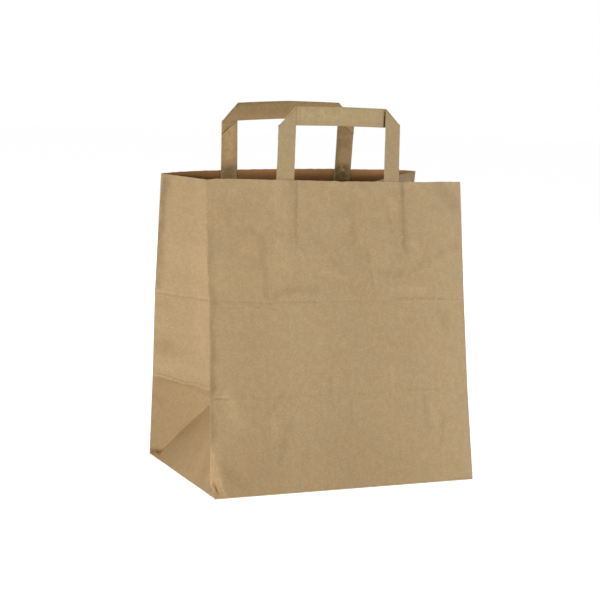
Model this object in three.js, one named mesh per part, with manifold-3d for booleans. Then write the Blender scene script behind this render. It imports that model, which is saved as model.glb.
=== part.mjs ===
// Paper carrier bag: a block-bottom bag folded from one sheet, with two flat folded handles.
// Millimetres, +Z up. The origin is the centre of the base, on the surface that the bag stands on.
// The front wall is at -Y and the back wall at +Y. Both side gussets are folded inwards.
import * as THREE from 'three';
import { mergeVertices } from 'three/addons/utils/BufferGeometryUtils.js';
import Module from 'manifold-3d';

const wasm = await Module();
wasm.setup();

// Corners nearer to each other than this are one corner
const weld = 0.001;

// Size of the opened bag
const bagWidth = 260;
const bagDepth = 170;
const bagHeight = 280;

// Paper, drawn thicker than the real sheet
const wallPly = 0.6;
const flapPly = 0.4;
const patchPly = 0.4;
const seatGap = 0.3;

// Base: how far the front and back bottom flaps lap over each other, and how far they reach up
// into the sheet above them
const flapLap = 24;
const flapBite = wallPly / 4;

// How far each upright edge leans in at the lower pressed line, the upper one and the mouth
const frontLeftLean = [18.5, 31, 52];
const frontRightLean = [19.7, 36.4, 56.4];
const backLeftLean = [3, 3, 11.5];
const backRightLean = [8, 16, 29];

// How far the middle of each wall bulges out at the same three levels
const frontBulge = [4, 8, 13];
const backBulge = [4, 8, 13.5];

// Height lost to small waves, the pushed-in foot of the front left edge, and the crumpled back left edge
const wallSettle = 1.4;
const dentDepth = 7.5;
const dentWidth = 40;
const dentPeak = 15;
const dentShoulder = 42;
const backLeftDrop = 8;

// Side gussets: how far the foot fold reaches in, and how far the mouth fold dips
const footFoldReach = 42;
const footFoldOffset = 3;
const mouthFoldDip = 7;

// Handles: one flat strip each, folded over at 45 degrees at both top corners
const stripWidth = 17;
const stripPly = 0.9;
const plyBite = 0.05;
const frontHandleWidth = 123.5;
const backHandleWidth = 133.7;
const frontHandleCentre = -1.1;
const backHandleCentre = -3.2;
const handleRise = 64.5;
const legTuck = 68;
const frontHandleLean = 1;
const backHandleLean = -0.5;

// Patches glued over the tucked handle legs
const patchWidth = 158;
const patchTop = 15;
const patchBottom = 76;
const patchRamp = 3;

// Values that follow from the sizes above
const halfGusset = bagDepth / 2;
const footHeight = 2 * flapPly + wallPly / 2;
const halfWidth = (bagWidth - wallPly) / 2;
const halfDepth = (bagDepth - wallPly) / 2;
const pressedLines = [0, halfGusset, 2 * halfGusset, bagHeight];
const climbStep = 10;

// Rows up the paper and columns across it, the columns as shares of the width
const middleSteps = 3;
const topSteps = 4;
const dentSteps = 3;
const wallSteps = 12;
const gussetSteps = 4;
const footRows = [0, dentPeak, dentShoulder, halfGusset];
const middleRows = levels(halfGusset, 2 * halfGusset, middleSteps);
const topRows = levels(2 * halfGusset, bagHeight, topSteps);
const upperRows = [...middleRows, ...topRows.slice(1)];
const dentEdge = dentWidth / bagWidth;
const columns = [...levels(0, dentEdge, dentSteps), ...levels(dentEdge, 1, wallSteps).slice(1)];
const gussetColumns = levels(0, 1, gussetSteps);

// Steps along the handles and patches
const tuckSteps = 6;
const legSteps = 5;
const stripSteps = 12;
const plySteps = 3;
const patchSteps = 8;
const patchRows = 5;

function levels(from, to, count) {
  return Array.from({ length: count + 1 }, (_, i) => from + (to - from) * i / count);
}

// Value at height v of a quantity that is 0 at the foot and given at the three levels above
function profile(values, v) {
  const stops = [0, ...values];
  const i = v <= pressedLines[1] ? 0 : v <= pressedLines[2] ? 1 : 2;
  const share = (v - pressedLines[i]) / (pressedLines[i + 1] - pressedLines[i]);
  return stops[i] + (stops[i + 1] - stops[i]) * share;
}

function dentShape(v) {
  if (v <= dentPeak) return v / dentPeak;
  return Math.max(0, 1 - (v - dentPeak) / (halfGusset - dentPeak));
}

// Inward lean of a wall at share s of its width and height v up the paper
function frontLean(s, v) {
  const edges = THREE.MathUtils.lerp(profile(frontLeftLean, v), profile(frontRightLean, v), s);
  const dentShare = Math.max(0, 1 - s * bagWidth / dentWidth) ** 2;
  return edges - 4 * s * (1 - s) * profile(frontBulge, v) + dentDepth * dentShape(v) * dentShare;
}

function backLean(s, v) {
  const edges = THREE.MathUtils.lerp(profile(backLeftLean, v), profile(backRightLean, v), s);
  return edges - 4 * s * (1 - s) * profile(backBulge, v);
}

// Height above the foot of paper height v, walking up the leaning wall without stretching it
function climb(leanAt, v) {
  const steps = Math.max(1, Math.ceil(v / climbStep));
  const rise = v / steps;
  let z = -wallSettle * v / bagHeight;
  for (let i = 0; i < steps; i++) {
    const leanStep = leanAt(rise * (i + 1)) - leanAt(rise * i);
    z += Math.sqrt(rise * rise - leanStep * leanStep);
  }
  return z;
}

function frontPoint(s, v) {
  const z = climb((h) => frontLean(s, h), v);
  return new THREE.Vector3((2 * s - 1) * halfWidth, -halfDepth + frontLean(s, v), footHeight + z);
}

function backPoint(s, v) {
  const z = climb((h) => backLean(s, h), v) - backLeftDrop * (1 - s) ** 3 * v / bagHeight;
  return new THREE.Vector3((2 * s - 1) * halfWidth, halfDepth - backLean(s, v), footHeight + z);
}

// Where the inward fold of a gusset starts at the foot and ends at the mouth; side is -1 or 1
function footFold(side) {
  const z = Math.sqrt(halfGusset ** 2 - footFoldReach ** 2);
  return new THREE.Vector3(side * (halfWidth - footFoldReach), footFoldOffset, footHeight + z);
}

function mouthFold(side) {
  const s = (side + 1) / 2;
  const front = frontPoint(s, bagHeight);
  const back = backPoint(s, bagHeight);
  const halfGap = front.distanceTo(back) / 2;
  const reach = Math.sqrt(halfGusset ** 2 - halfGap ** 2 - mouthFoldDip ** 2);
  const fold = front.clone().add(back).multiplyScalar(0.5);
  return fold.add(new THREE.Vector3(-side * reach, 0, -mouthFoldDip));
}

function gussetFold(side, v) {
  const share = (v - halfGusset) / (bagHeight - halfGusset);
  return footFold(side).lerp(mouthFold(side), share);
}

// A sheet of paper as a surface of triangles that share their corners
class Sheet {
  points = [];
  triangles = [];
  index = new Map();

  corner(p) {
    const key = p.toArray().map((c) => Math.round(c / weld)).join(' ');
    if (!this.index.has(key)) {
      this.index.set(key, this.points.length);
      this.points.push(p);
    }
    return this.index.get(key);
  }

  triangle(a, b, c) {
    this.triangles.push([this.corner(a), this.corner(b), this.corner(c)]);
  }

  // Quads between rows and columns; flip turns the outside over
  panel(pointAt, us, vs, flip) {
    for (let i = 0; i + 1 < us.length; i++) {
      for (let j = 0; j + 1 < vs.length; j++) {
        const a = pointAt(us[i], vs[j]);
        const b = pointAt(us[i + 1], vs[j]);
        const c = pointAt(us[i + 1], vs[j + 1]);
        const d = pointAt(us[i], vs[j + 1]);
        if (flip) {
          this.triangle(a, c, b);
          this.triangle(a, d, c);
        } else {
          this.triangle(a, b, c);
          this.triangle(a, c, d);
        }
      }
    }
  }

  normal([a, b, c]) {
    const ab = this.points[b].clone().sub(this.points[a]);
    const ac = this.points[c].clone().sub(this.points[a]);
    return ab.cross(ac).normalize();
  }

  // The shift of each corner that moves every face around it out by one unit: the least squares
  // answer, in which a little slack keeps flat surroundings solvable
  shifts() {
    const slack = 0.01;
    const sums = this.points.map(() => ({
      matrix: new THREE.Matrix3().identity().multiplyScalar(slack),
      normal: new THREE.Vector3(),
    }));
    for (const tri of this.triangles) {
      const n = this.normal(tri);
      const parts = n.toArray();
      for (const k of tri) {
        parts.forEach((p, row) => parts.forEach((q, column) => {
          sums[k].matrix.elements[3 * row + column] += p * q;
        }));
        sums[k].normal.add(n);
      }
    }
    return sums.map(({ matrix, normal }) => normal.applyMatrix3(matrix.invert()));
  }

  // A closed solid of the given thickness, with the sheet in its middle
  thicken(thickness) {
    const shift = this.shifts();
    const count = this.points.length;
    const outside = this.points.map((p, k) => p.clone().addScaledVector(shift[k], thickness / 2));
    const inside = this.points.map((p, k) => p.clone().addScaledVector(shift[k], -thickness / 2));
    const faces = [];
    const edges = new Set(this.triangles.flatMap(([a, b, c]) => [`${a} ${b}`, `${b} ${c}`, `${c} ${a}`]));
    for (const [a, b, c] of this.triangles) {
      faces.push([a, b, c], [a + count, c + count, b + count]);
      for (const [from, to] of [[a, b], [b, c], [c, a]]) {
        if (edges.has(`${to} ${from}`)) continue;
        faces.push([to, from, from + count], [to, from + count, to + count]);
      }
    }
    return geometryOf([...outside, ...inside], faces);
  }
}

function geometryOf(points, faces) {
  const geometry = new THREE.BufferGeometry();
  const positions = points.flatMap((p) => p.toArray());
  geometry.setAttribute('position', new THREE.Float32BufferAttribute(positions, 3));
  geometry.setIndex(faces.flat());
  return geometry;
}

function solidOf(geometry) {
  geometry.deleteAttribute('normal');
  geometry.deleteAttribute('uv');
  const merged = mergeVertices(geometry, weld / 10);
  return new wasm.Manifold(new wasm.Mesh({
    numProp: 3,
    vertProperties: new Float32Array(merged.attributes.position.array),
    triVerts: new Uint32Array(merged.index.array),
  }));
}

function geometryFrom(solid) {
  const mesh = solid.getMesh();
  const geometry = new THREE.BufferGeometry();
  geometry.setAttribute('position', new THREE.Float32BufferAttribute(mesh.vertProperties, 3));
  geometry.setIndex(new THREE.Uint32BufferAttribute(mesh.triVerts, 1));
  geometry.computeVertexNormals();
  return geometry;
}

// One gusset: the foot triangle, the two slanted triangles beside it and the two upper halves
function addGusset(sheet, side) {
  const s = (side + 1) / 2;
  const fold = footFold(side);
  const flip = side > 0;
  const tri = (a, b, c) => (flip ? sheet.triangle(a, c, b) : sheet.triangle(a, b, c));
  const frontHalf = (u, v) => gussetFold(side, v).lerp(frontPoint(s, v), u);
  const backHalf = (u, v) => backPoint(s, v).lerp(gussetFold(side, v), u);
  tri(backPoint(s, 0), frontPoint(s, 0), fold);
  for (let i = 0; i + 2 < footRows.length; i++) {
    tri(frontPoint(s, footRows[i]), frontPoint(s, footRows[i + 1]), fold);
    tri(backPoint(s, footRows[i + 1]), backPoint(s, footRows[i]), fold);
  }
  const lastRow = footRows.at(-2);
  for (let i = 0; i + 1 < gussetColumns.length; i++) {
    const [u, next] = gussetColumns.slice(i, i + 2);
    tri(frontPoint(s, lastRow), frontHalf(next, halfGusset), frontHalf(u, halfGusset));
    tri(backPoint(s, lastRow), backHalf(next, halfGusset), backHalf(u, halfGusset));
  }
  sheet.panel(frontHalf, gussetColumns, upperRows, flip);
  sheet.panel(backHalf, gussetColumns, upperRows, flip);
}

// One bottom flap, with its ends cut back at 45 degrees; edge is -1 for the front, 1 for the back
function bottomFlap(edge, lowest) {
  const reach = halfDepth + flapLap / 2;
  const outline = new THREE.Shape([
    new THREE.Vector2(-halfWidth, edge * halfDepth),
    new THREE.Vector2(halfWidth, edge * halfDepth),
    new THREE.Vector2(halfWidth - reach, edge * (halfDepth - reach)),
    new THREE.Vector2(-halfWidth + reach, edge * (halfDepth - reach)),
  ]);
  const top = 2 * flapPly + flapBite;
  const geometry = new THREE.ExtrudeGeometry(outline, { depth: top - lowest, bevelEnabled: false });
  return solidOf(geometry.translate(0, 0, lowest));
}

function bagBody() {
  const sheet = new Sheet();
  const rows = [...footRows, ...upperRows.slice(1)];
  sheet.panel(frontPoint, columns, rows, false);
  sheet.panel(backPoint, columns, rows, true);
  const base = (s, v) => frontPoint(s, 0).lerp(backPoint(s, 0), v);
  sheet.panel(base, columns, [0, 1], true);
  addGusset(sheet, -1);
  addGusset(sheet, 1);
  const shell = solidOf(sheet.thicken(wallPly));
  return geometryFrom(shell.add(bottomFlap(1, 0)).add(bottomFlap(-1, flapPly)));
}

// A wall as a guide for what is fixed inside it. h is measured up from the mouth, so it is
// negative inside the bag, and above the mouth the guide stands up at its own lean.
function guide(wallPoint, inward, leanDegrees) {
  const lean = THREE.MathUtils.degToRad(leanDegrees);
  const upward = new THREE.Vector3(0, inward * Math.sin(lean), Math.cos(lean));
  const middle = (x, h) => {
    const s = (x / halfWidth + 1) / 2;
    if (h <= 0) return wallPoint(s, bagHeight + h);
    return wallPoint(s, bagHeight).addScaledVector(upward, h);
  };
  return (x, h, depth) => {
    const probe = 2;
    const across = middle(x + probe, h).sub(middle(x - probe, h));
    const up = middle(x, h + probe).sub(middle(x, h - probe));
    const normal = up.cross(across).normalize();
    if (normal.y * inward < 0) normal.negate();
    return middle(x, h).addScaledVector(normal, depth);
  };
}

// A slab bent along a guide. place gives [x, h] for shares u and v; near and far give its depths.
function bentSlab(bend, place, near, far, us, vs) {
  const points = [];
  for (const depth of [near, far]) {
    for (const u of us) {
      for (const v of vs) {
        const [x, h] = place(u, v);
        points.push(bend(x, h, depth(x)));
      }
    }
  }
  const at = (layer, i, j) => (layer * us.length + i) * vs.length + j;
  const faces = [];
  const quad = (a, b, c, d) => faces.push([a, b, c], [a, c, d]);
  const lastU = us.length - 1;
  const lastV = vs.length - 1;
  for (let i = 0; i < lastU; i++) {
    for (let j = 0; j < lastV; j++) {
      quad(at(0, i, j), at(0, i + 1, j), at(0, i + 1, j + 1), at(0, i, j + 1));
      quad(at(1, i, j), at(1, i, j + 1), at(1, i + 1, j + 1), at(1, i + 1, j));
    }
    quad(at(1, i, 0), at(1, i + 1, 0), at(0, i + 1, 0), at(0, i, 0));
    quad(at(0, i, lastV), at(0, i + 1, lastV), at(1, i + 1, lastV), at(1, i, lastV));
  }
  for (let j = 0; j < lastV; j++) {
    quad(at(0, 0, j), at(0, 0, j + 1), at(1, 0, j + 1), at(1, 0, j));
    quad(at(1, lastU, j), at(1, lastU, j + 1), at(0, lastU, j + 1), at(0, lastU, j));
  }
  return outward(geometryOf(points, faces));
}

// The same closed mesh with its faces pointing out
function outward(geometry) {
  const { position } = geometry.attributes;
  const index = geometry.index.array;
  const [a, b, c] = [new THREE.Vector3(), new THREE.Vector3(), new THREE.Vector3()];
  let volume = 0;
  for (let i = 0; i < index.length; i += 3) {
    [a, b, c].forEach((corner, k) => corner.fromBufferAttribute(position, index[i + k]));
    volume += a.dot(b.cross(c));
  }
  if (volume > 0) return geometry;
  const turned = Array.from(index).map((_, i) => index[i - i % 3 + (3 - i % 3) % 3]);
  geometry.setIndex(turned);
  return geometry;
}

const legDepth = wallPly / 2 + seatGap;

// One handle: two legs tucked into the bag, and the strip across the top on their inner side
function handle(bend, width, centre) {
  const stripBottom = handleRise - stripWidth;
  const legFar = legDepth + stripPly;
  const legRows = [...levels(-legTuck, 0, tuckSteps), ...levels(0, stripBottom, legSteps).slice(1)];
  const lastStraight = legRows.at(-2);
  const legs = [-1, 1].map((side) => {
    const place = (u, h) => {
      const folded = Math.max(0, (h - lastStraight) / (stripBottom - lastStraight));
      return [centre + side * (width / 2 - u * stripWidth), h + folded * u * stripWidth];
    };
    const plies = levels(0, 1, plySteps);
    return solidOf(bentSlab(bend, place, () => legDepth, () => legFar, plies, legRows));
  });
  const stripPlace = (u, v) => {
    const half = width / 2 - v * stripWidth;
    return [centre + (2 * u - 1) * half, stripBottom + v * stripWidth];
  };
  const stripNear = legFar - plyBite;
  const stripFar = stripNear + stripPly;
  const strip = bentSlab(
    bend, stripPlace, () => stripNear, () => stripFar, levels(0, 1, stripSteps), levels(0, 1, plySteps),
  );
  return geometryFrom(solidOf(strip).add(legs[0]).add(legs[1]));
}

// One patch: it lies on the wall and steps over the handle legs
function patch(bend, width, centre) {
  const onWall = wallPly / 2 + seatGap;
  const overLeg = legDepth + stripPly + seatGap;
  const outer = width / 2;
  const inner = width / 2 - stripWidth;
  const depth = (x) => {
    const r = Math.abs(x - centre);
    const outside = Math.max(r - outer - seatGap, inner - seatGap - r, 0);
    return THREE.MathUtils.lerp(overLeg, onWall, Math.min(1, outside / patchRamp));
  };
  const half = patchWidth / 2;
  const stops = [inner - seatGap - patchRamp, inner - seatGap, outer + seatGap, outer + seatGap + patchRamp];
  const between = levels(-stops[0], stops[0], patchSteps).slice(1, -1);
  const xs = [-half, ...stops.map((r) => -r).reverse(), ...between, ...stops, half];
  const us = xs.map((x) => (x + half) / patchWidth);
  const place = (u, v) => [centre - half + u * patchWidth, THREE.MathUtils.lerp(-patchBottom, -patchTop, v)];
  return bentSlab(bend, place, depth, (x) => depth(x) + patchPly, us, levels(0, 1, patchRows));
}

const frontGuide = guide(frontPoint, 1, frontHandleLean);
const backGuide = guide(backPoint, -1, backHandleLean);

function kraft(color, roughness) {
  return new THREE.MeshStandardMaterial({ color, roughness, metalness: 0 });
}

const bodyPaper = kraft(0xb5976b, 0.88);
const handlePaper = kraft(0xa98c60, 0.85);
const patchPaper = kraft(0xa5875a, 0.9);

function piece(name, geometry, material) {
  const mesh = new THREE.Mesh(geometry, material);
  mesh.name = name;
  return mesh;
}

const bag = new THREE.Group();
bag.add(piece('bag_body', bagBody(), bodyPaper));
bag.add(piece('front_handle', handle(frontGuide, frontHandleWidth, frontHandleCentre), handlePaper));
bag.add(piece('back_handle', handle(backGuide, backHandleWidth, backHandleCentre), handlePaper));
bag.add(piece('front_handle_patch', patch(frontGuide, frontHandleWidth, frontHandleCentre), patchPaper));
bag.add(piece('back_handle_patch', patch(backGuide, backHandleWidth, backHandleCentre), patchPaper));

export default bag;
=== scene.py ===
"""Looks of a brown kraft paper carrier bag with folded-in gussets and two flat folded handles.

Lengths are millimetres until a mesh is made, and then metres. +Z is up, the front wall is at -Y.
"""

import math

import bpy
import numpy as np
from mathutils import Matrix, Vector


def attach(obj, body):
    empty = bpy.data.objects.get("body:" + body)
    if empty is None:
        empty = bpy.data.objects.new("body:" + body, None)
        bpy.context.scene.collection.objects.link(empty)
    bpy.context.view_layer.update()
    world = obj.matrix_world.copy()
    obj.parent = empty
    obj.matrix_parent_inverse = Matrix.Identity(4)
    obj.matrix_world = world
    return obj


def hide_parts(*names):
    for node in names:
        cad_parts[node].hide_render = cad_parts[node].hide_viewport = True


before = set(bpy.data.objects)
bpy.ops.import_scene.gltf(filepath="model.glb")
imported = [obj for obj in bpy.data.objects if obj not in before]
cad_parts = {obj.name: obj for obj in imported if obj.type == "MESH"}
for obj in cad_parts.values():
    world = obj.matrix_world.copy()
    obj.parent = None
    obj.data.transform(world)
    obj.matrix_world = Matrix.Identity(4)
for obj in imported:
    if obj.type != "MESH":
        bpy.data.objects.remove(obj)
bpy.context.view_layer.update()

MM = 0.001

# Sizes of the bag, as in the solid model
BAG_WIDTH, BAG_DEPTH, BAG_HEIGHT = 260, 170, 280
WALL_PLY, FLAP_PLY, SEAT_GAP = 0.6, 0.4, 0.3
FLAP_LAP = 24
FRONT_LEFT_LEAN = (18.5, 31, 52)
FRONT_RIGHT_LEAN = (19.7, 36.4, 56.4)
BACK_LEFT_LEAN = (3, 3, 11.5)
BACK_RIGHT_LEAN = (8, 16, 29)
FRONT_BULGE = (4, 8, 13)
BACK_BULGE = (4, 8, 13.5)
WALL_SETTLE = 1.4
DENT_DEPTH, DENT_WIDTH, DENT_PEAK = 7.5, 40, 15
FOOT_FOLD_REACH, FOOT_FOLD_OFFSET, MOUTH_FOLD_DIP = 42, 3, 7
STRIP_WIDTH, STRIP_PLY, PLY_BITE = 17, 0.9, 0.05
FRONT_HANDLE_WIDTH, BACK_HANDLE_WIDTH = 123.5, 133.7
HANDLE_RISE, LEG_TUCK = 64.5, 68
FRONT_HANDLE_LEAN, BACK_HANDLE_LEAN = 1, -0.5
PATCH_WIDTH, PATCH_TOP, PATCH_BOTTOM, PATCH_RAMP = 158, 15, 76, 3

# Where the real bag strays a little from the solid model: how far each wall's mouth sways sideways
# at its left and right, a flat facet at the foot of the front left edge, and how far the back left
# edge has dropped at heights up the paper
FRONT_SWAY = (1.4, 2.0)
BACK_SWAY = (-0.7, 0)
FACET_WIDTH, FACET_HEIGHT = 10.5, 48
BACK_LEFT_DROP = (0, 4.4, 7.6, 10.4, 8)
BACK_LEFT_DROP_AT = (0, 40, 85, 170, 280)
# How much lower the mouth line hangs along either wall than a straight cut would
RIM_AT = (-130, -105, -59, -38, 6, 51, 69, 87, 101, 114, 130)
FRONT_RIM_DROP = (0, 0.65, 1.5, 1.9, 2.3, 2.1, 1.7, 1.6, 1.0, 0.4, 0)
BACK_RIM_DROP = (0, 0.4, 1.5, 1.7, 1.8, 1.3, 1.0, 0.6, 0.3, 0.1, 0)
RIM_DROP_FROM = 190
# Where the handles stand, and how they have settled at both edges of the left leg, in the middle
# and at both edges of the right leg: sideways at the mouth and at the top strip, and upward there
FRONT_HANDLE_CENTRE, BACK_HANDLE_CENTRE = -3.1, -1.5
FRONT_SETTLED = {
    "rim": (0, -0.35, -0.2, 0.85, 0),
    "top": (0.45, -0.35, -0.5, 0.1, -1.2),
    "lift": (-2.0, -0.9, -0.5, -0.7, 1.6),
}
BACK_SETTLED = {
    "rim": (0, -0.15, 0, 0.45, -0.35),
    "top": (-0.85, -1.55, -0.2, 1.5, 1.3),
    "lift": (-3.0, -2.3, -0.7, -1.4, -2.0),
}

HALF_GUSSET = BAG_DEPTH / 2
FOOT_HEIGHT = 2 * FLAP_PLY + WALL_PLY / 2
HALF_WIDTH = (BAG_WIDTH - WALL_PLY) / 2
HALF_DEPTH = (BAG_DEPTH - WALL_PLY) / 2
PRESSED_LINES = (0, HALF_GUSSET, 2 * HALF_GUSSET, BAG_HEIGHT)
LEG_DEPTH = WALL_PLY / 2 + SEAT_GAP

# The sheet as it is shown, thinner than the solid one
SHEET = 0.34

# Flat paper coordinates: x across and v up from the foot, with the front wall around x = 0.
# A gusset's front edge is at SIDE and its back edge at GUSSET_U, and the left one is negative.
SIDE = BAG_WIDTH / 2
GUSSET_U = SIDE + BAG_DEPTH
BACK_U = GUSSET_U + SIDE
FRONT_LEG_U, FRONT_STRIP_U = 600, 900
BACK_LEG_U, BACK_STRIP_U = 1100, 1400
PATCH_U = 1300


def smooth(x, low, high):
    t = np.clip((x - low) / (high - low), 0, 1)
    return t * t * (3 - 2 * t)


def fall(distance, width):
    """1 at no distance, down to 0 at the width."""
    return np.clip(1 - distance / width, 0, 1)


def noise(x, y, size, seed):
    """Smooth noise from -1 to 1, with features about size across."""
    table = np.random.default_rng(seed).uniform(-1, 1, (64, 64))
    gx, gy = x / size + 17, y / size + 29
    ix, iy = np.floor(gx).astype(int), np.floor(gy).astype(int)
    fx, fy = gx - ix, gy - iy
    fx, fy = fx * fx * (3 - 2 * fx), fy * fy * (3 - 2 * fy)
    at = lambda i, j: table[(ix + i) % 64, (iy + j) % 64]
    low = at(0, 0) * (1 - fx) + at(1, 0) * fx
    high = at(0, 1) * (1 - fx) + at(1, 1) * fx
    return low * (1 - fy) + high * fy


def crease(x, y, x0, y0, x1, y1, width, depth, taper=12):
    """A pressed line from one point to another: depth on the line, fading over width and to both ends."""
    length = math.hypot(x1 - x0, y1 - y0)
    dx, dy = (x1 - x0) / length, (y1 - y0) / length
    along = (x - x0) * dx + (y - y0) * dy
    across = np.abs((x - x0) * dy - (y - y0) * dx)
    ends = smooth(along, -taper / 2, taper / 2) * smooth(length - along, -taper / 2, taper / 2)
    return depth * ends * fall(across, width) ** 1.6


# The folded shape

def profile(values, v):
    return np.interp(v, PRESSED_LINES, (0, *values))


def dent_shape(v):
    return np.where(v <= DENT_PEAK, v / DENT_PEAK,
                    np.clip(1 - (v - DENT_PEAK) / (HALF_GUSSET - DENT_PEAK), 0, None))


def front_lean(s, v):
    edges = (1 - s) * profile(FRONT_LEFT_LEAN, v) + s * profile(FRONT_RIGHT_LEAN, v)
    share = np.clip(1 - s * BAG_WIDTH / DENT_WIDTH, 0, None) ** 2
    facet = fall(s * BAG_WIDTH, 2 + FACET_WIDTH * fall(v, FACET_HEIGHT))
    sharp = 0.75 * smooth(FACET_HEIGHT - v, -4, 30)
    share = share * (1 - sharp) + facet * sharp
    return edges - 4 * s * (1 - s) * profile(FRONT_BULGE, v) + DENT_DEPTH * dent_shape(v) * share


def back_lean(s, v):
    edges = (1 - s) * profile(BACK_LEFT_LEAN, v) + s * profile(BACK_RIGHT_LEAN, v)
    return edges - 4 * s * (1 - s) * profile(BACK_BULGE, v)


def climb(lean_at, s, v):
    """Height of paper height v, walking up the leaning wall without stretching it."""
    steps = 28
    z = -WALL_SETTLE * v / BAG_HEIGHT
    before = lean_at(s, v * 0)
    for i in range(1, steps + 1):
        after = lean_at(s, v * i / steps)
        z = z + np.sqrt(np.clip((v / steps) ** 2 - (after - before) ** 2, 0, None))
        before = after
    return z


def front_point(s, v):
    s, v = np.broadcast_arrays(np.asarray(s, float), np.asarray(v, float))
    sway = ((1 - s) * FRONT_SWAY[0] + s * FRONT_SWAY[1]) * v / BAG_HEIGHT
    return np.stack([(2 * s - 1) * HALF_WIDTH + sway, -HALF_DEPTH + front_lean(s, v),
                     FOOT_HEIGHT + climb(front_lean, s, v)], -1)


def back_point(s, v):
    s, v = np.broadcast_arrays(np.asarray(s, float), np.asarray(v, float))
    z = climb(back_lean, s, v) - (1 - s) ** 3 * np.interp(v, BACK_LEFT_DROP_AT, BACK_LEFT_DROP)
    sway = ((1 - s) * BACK_SWAY[0] + s * BACK_SWAY[1]) * v / BAG_HEIGHT
    return np.stack([(2 * s - 1) * HALF_WIDTH + sway, HALF_DEPTH - back_lean(s, v),
                     FOOT_HEIGHT + z], -1)


def foot_fold(side):
    z = math.sqrt(HALF_GUSSET ** 2 - FOOT_FOLD_REACH ** 2)
    return np.array([side * (HALF_WIDTH - FOOT_FOLD_REACH), FOOT_FOLD_OFFSET, FOOT_HEIGHT + z])


def mouth_fold(side):
    s = (side + 1) / 2
    front, back = front_point(s, BAG_HEIGHT), back_point(s, BAG_HEIGHT)
    half_gap = np.linalg.norm(front - back) / 2
    reach = math.sqrt(HALF_GUSSET ** 2 - half_gap ** 2 - MOUTH_FOLD_DIP ** 2)
    return (front + back) / 2 + np.array([-side * reach, 0, -MOUTH_FOLD_DIP])


def lerp(a, b, t):
    return a + (b - a) * np.asarray(t, float)[..., None]


def gusset_fold(side, v):
    share = (np.asarray(v, float) - HALF_GUSSET) / (BAG_HEIGHT - HALF_GUSSET)
    return lerp(foot_fold(side), mouth_fold(side), share)


# Wrinkles, pressed lines and dents, in flat paper coordinates: outward is positive

# The glued seam that closes the sheet, on the back wall
SEAM_X, SEAM_STEP = 104, 0.3
# The outer side of the left leg's mark and the inner side of the right one's, on the front wall
LEG_MARKS = (-62.8, 43.6)

# Small creases of the front wall: start and end, half width, depth and the length of the taper
FRONT_CREASES = (
    (-47, 220, -39.5, 207, 3.0, 0.5, 6), (-46.2, 214, -43, 190, 4, -0.25, 14),
    (-26, 197.6, -9, 197.6, 2.6, 0.35, 8), (53, 258, 57.5, 250.5, 2.6, 0.35, 6),
    (63, 228, 77, 210, 4, 0.45, 10), (76, 212, 90, 197, 5, 0.22, 16), (32, 212, 33, 178, 4, 0.35, 14),
    (41.5, 219, 47, 201, 4, 0.3, 10), (3.5, 278, 3, 228, 6, -0.4, 20),
    (36, 262, 46, 247, 4.5, 0.22, 12), (-90, 236, -79, 222, 8, -0.4, 14),
    (-78.5, 226, -75, 174, 9, -0.45, 24), (23.5, 222, 27, 199, 5, -0.35, 14),
    (26.5, 201, 30, 172, 5.5, -0.35, 16), (-70, 176, -27, 181, 7, -0.35, 20),
    (-18, 193.5, 4, 190.5, 6, 0.35, 14), (-62, 58, -64, 28, 8, -0.35, 24),
    (84, 80, 86, 48, 7, -0.3, 20), (-112, 92, -104, 56, 14, 0.45, 24),
    (-15, 104, -14.5, 80, 4, -0.2, 14), (-54, 262, -58, 178, 13, -0.4, 40),
    (-24, 266, -30, 200, 15, 0.35, 40), (24, 232, 20, 172, 11, -0.35, 30),
    (96, 262, 88, 222, 14, 0.4, 30), (-70, 236, -58, 196, 8, -0.25, 26),
)


def front_relief(x, v):
    upper = smooth(v, 120, 200)
    out = 0.55 * noise(x, v, 70, 1) + (0.2 + 0.3 * upper) * noise(x, v, 26, 2)
    out += (0.08 + 0.13 * upper) * noise(x, v, 11, 3)
    out += 0.16 * (1 - upper) * noise(x, v * 0.3, 17, 4)
    # The tucked handle legs show through the wall
    tuck = smooth(v, BAG_HEIGHT - LEG_TUCK - 3, BAG_HEIGHT - LEG_TUCK + 9)
    left, right = LEG_MARKS
    out += 0.8 * tuck * (smooth(x, left - 8, left + 2) - smooth(x, -49.6, -44.6))
    out += 0.75 * tuck * (smooth(x, right - 9, right + 2) - smooth(x, 58.0, 65.0))
    # Pressed lines
    wave = 0.5 * noise(x, v * 0 + 5, 40, 5)
    out += crease(x, v + wave, -132, 169.5, 132, 169.5, 6, -0.42)
    out += crease(x, v + wave, -132, 84.6, 132, 84.6, 5, 0.3)
    out += crease(x, v, -131, 85.4, -112, 85.0, 3.5, 0.45)
    # The wall is pinched beside its left fold
    pinch = smooth(v, 12, 60) * (0.6 + 0.4 * noise(x * 0, v, 60, 6))
    out -= pinch * fall(np.abs(x + 123.5), np.where(x < -123.5, 6, 20))
    for line in FRONT_CREASES:
        out += crease(x, v, *line)
    return out


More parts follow.
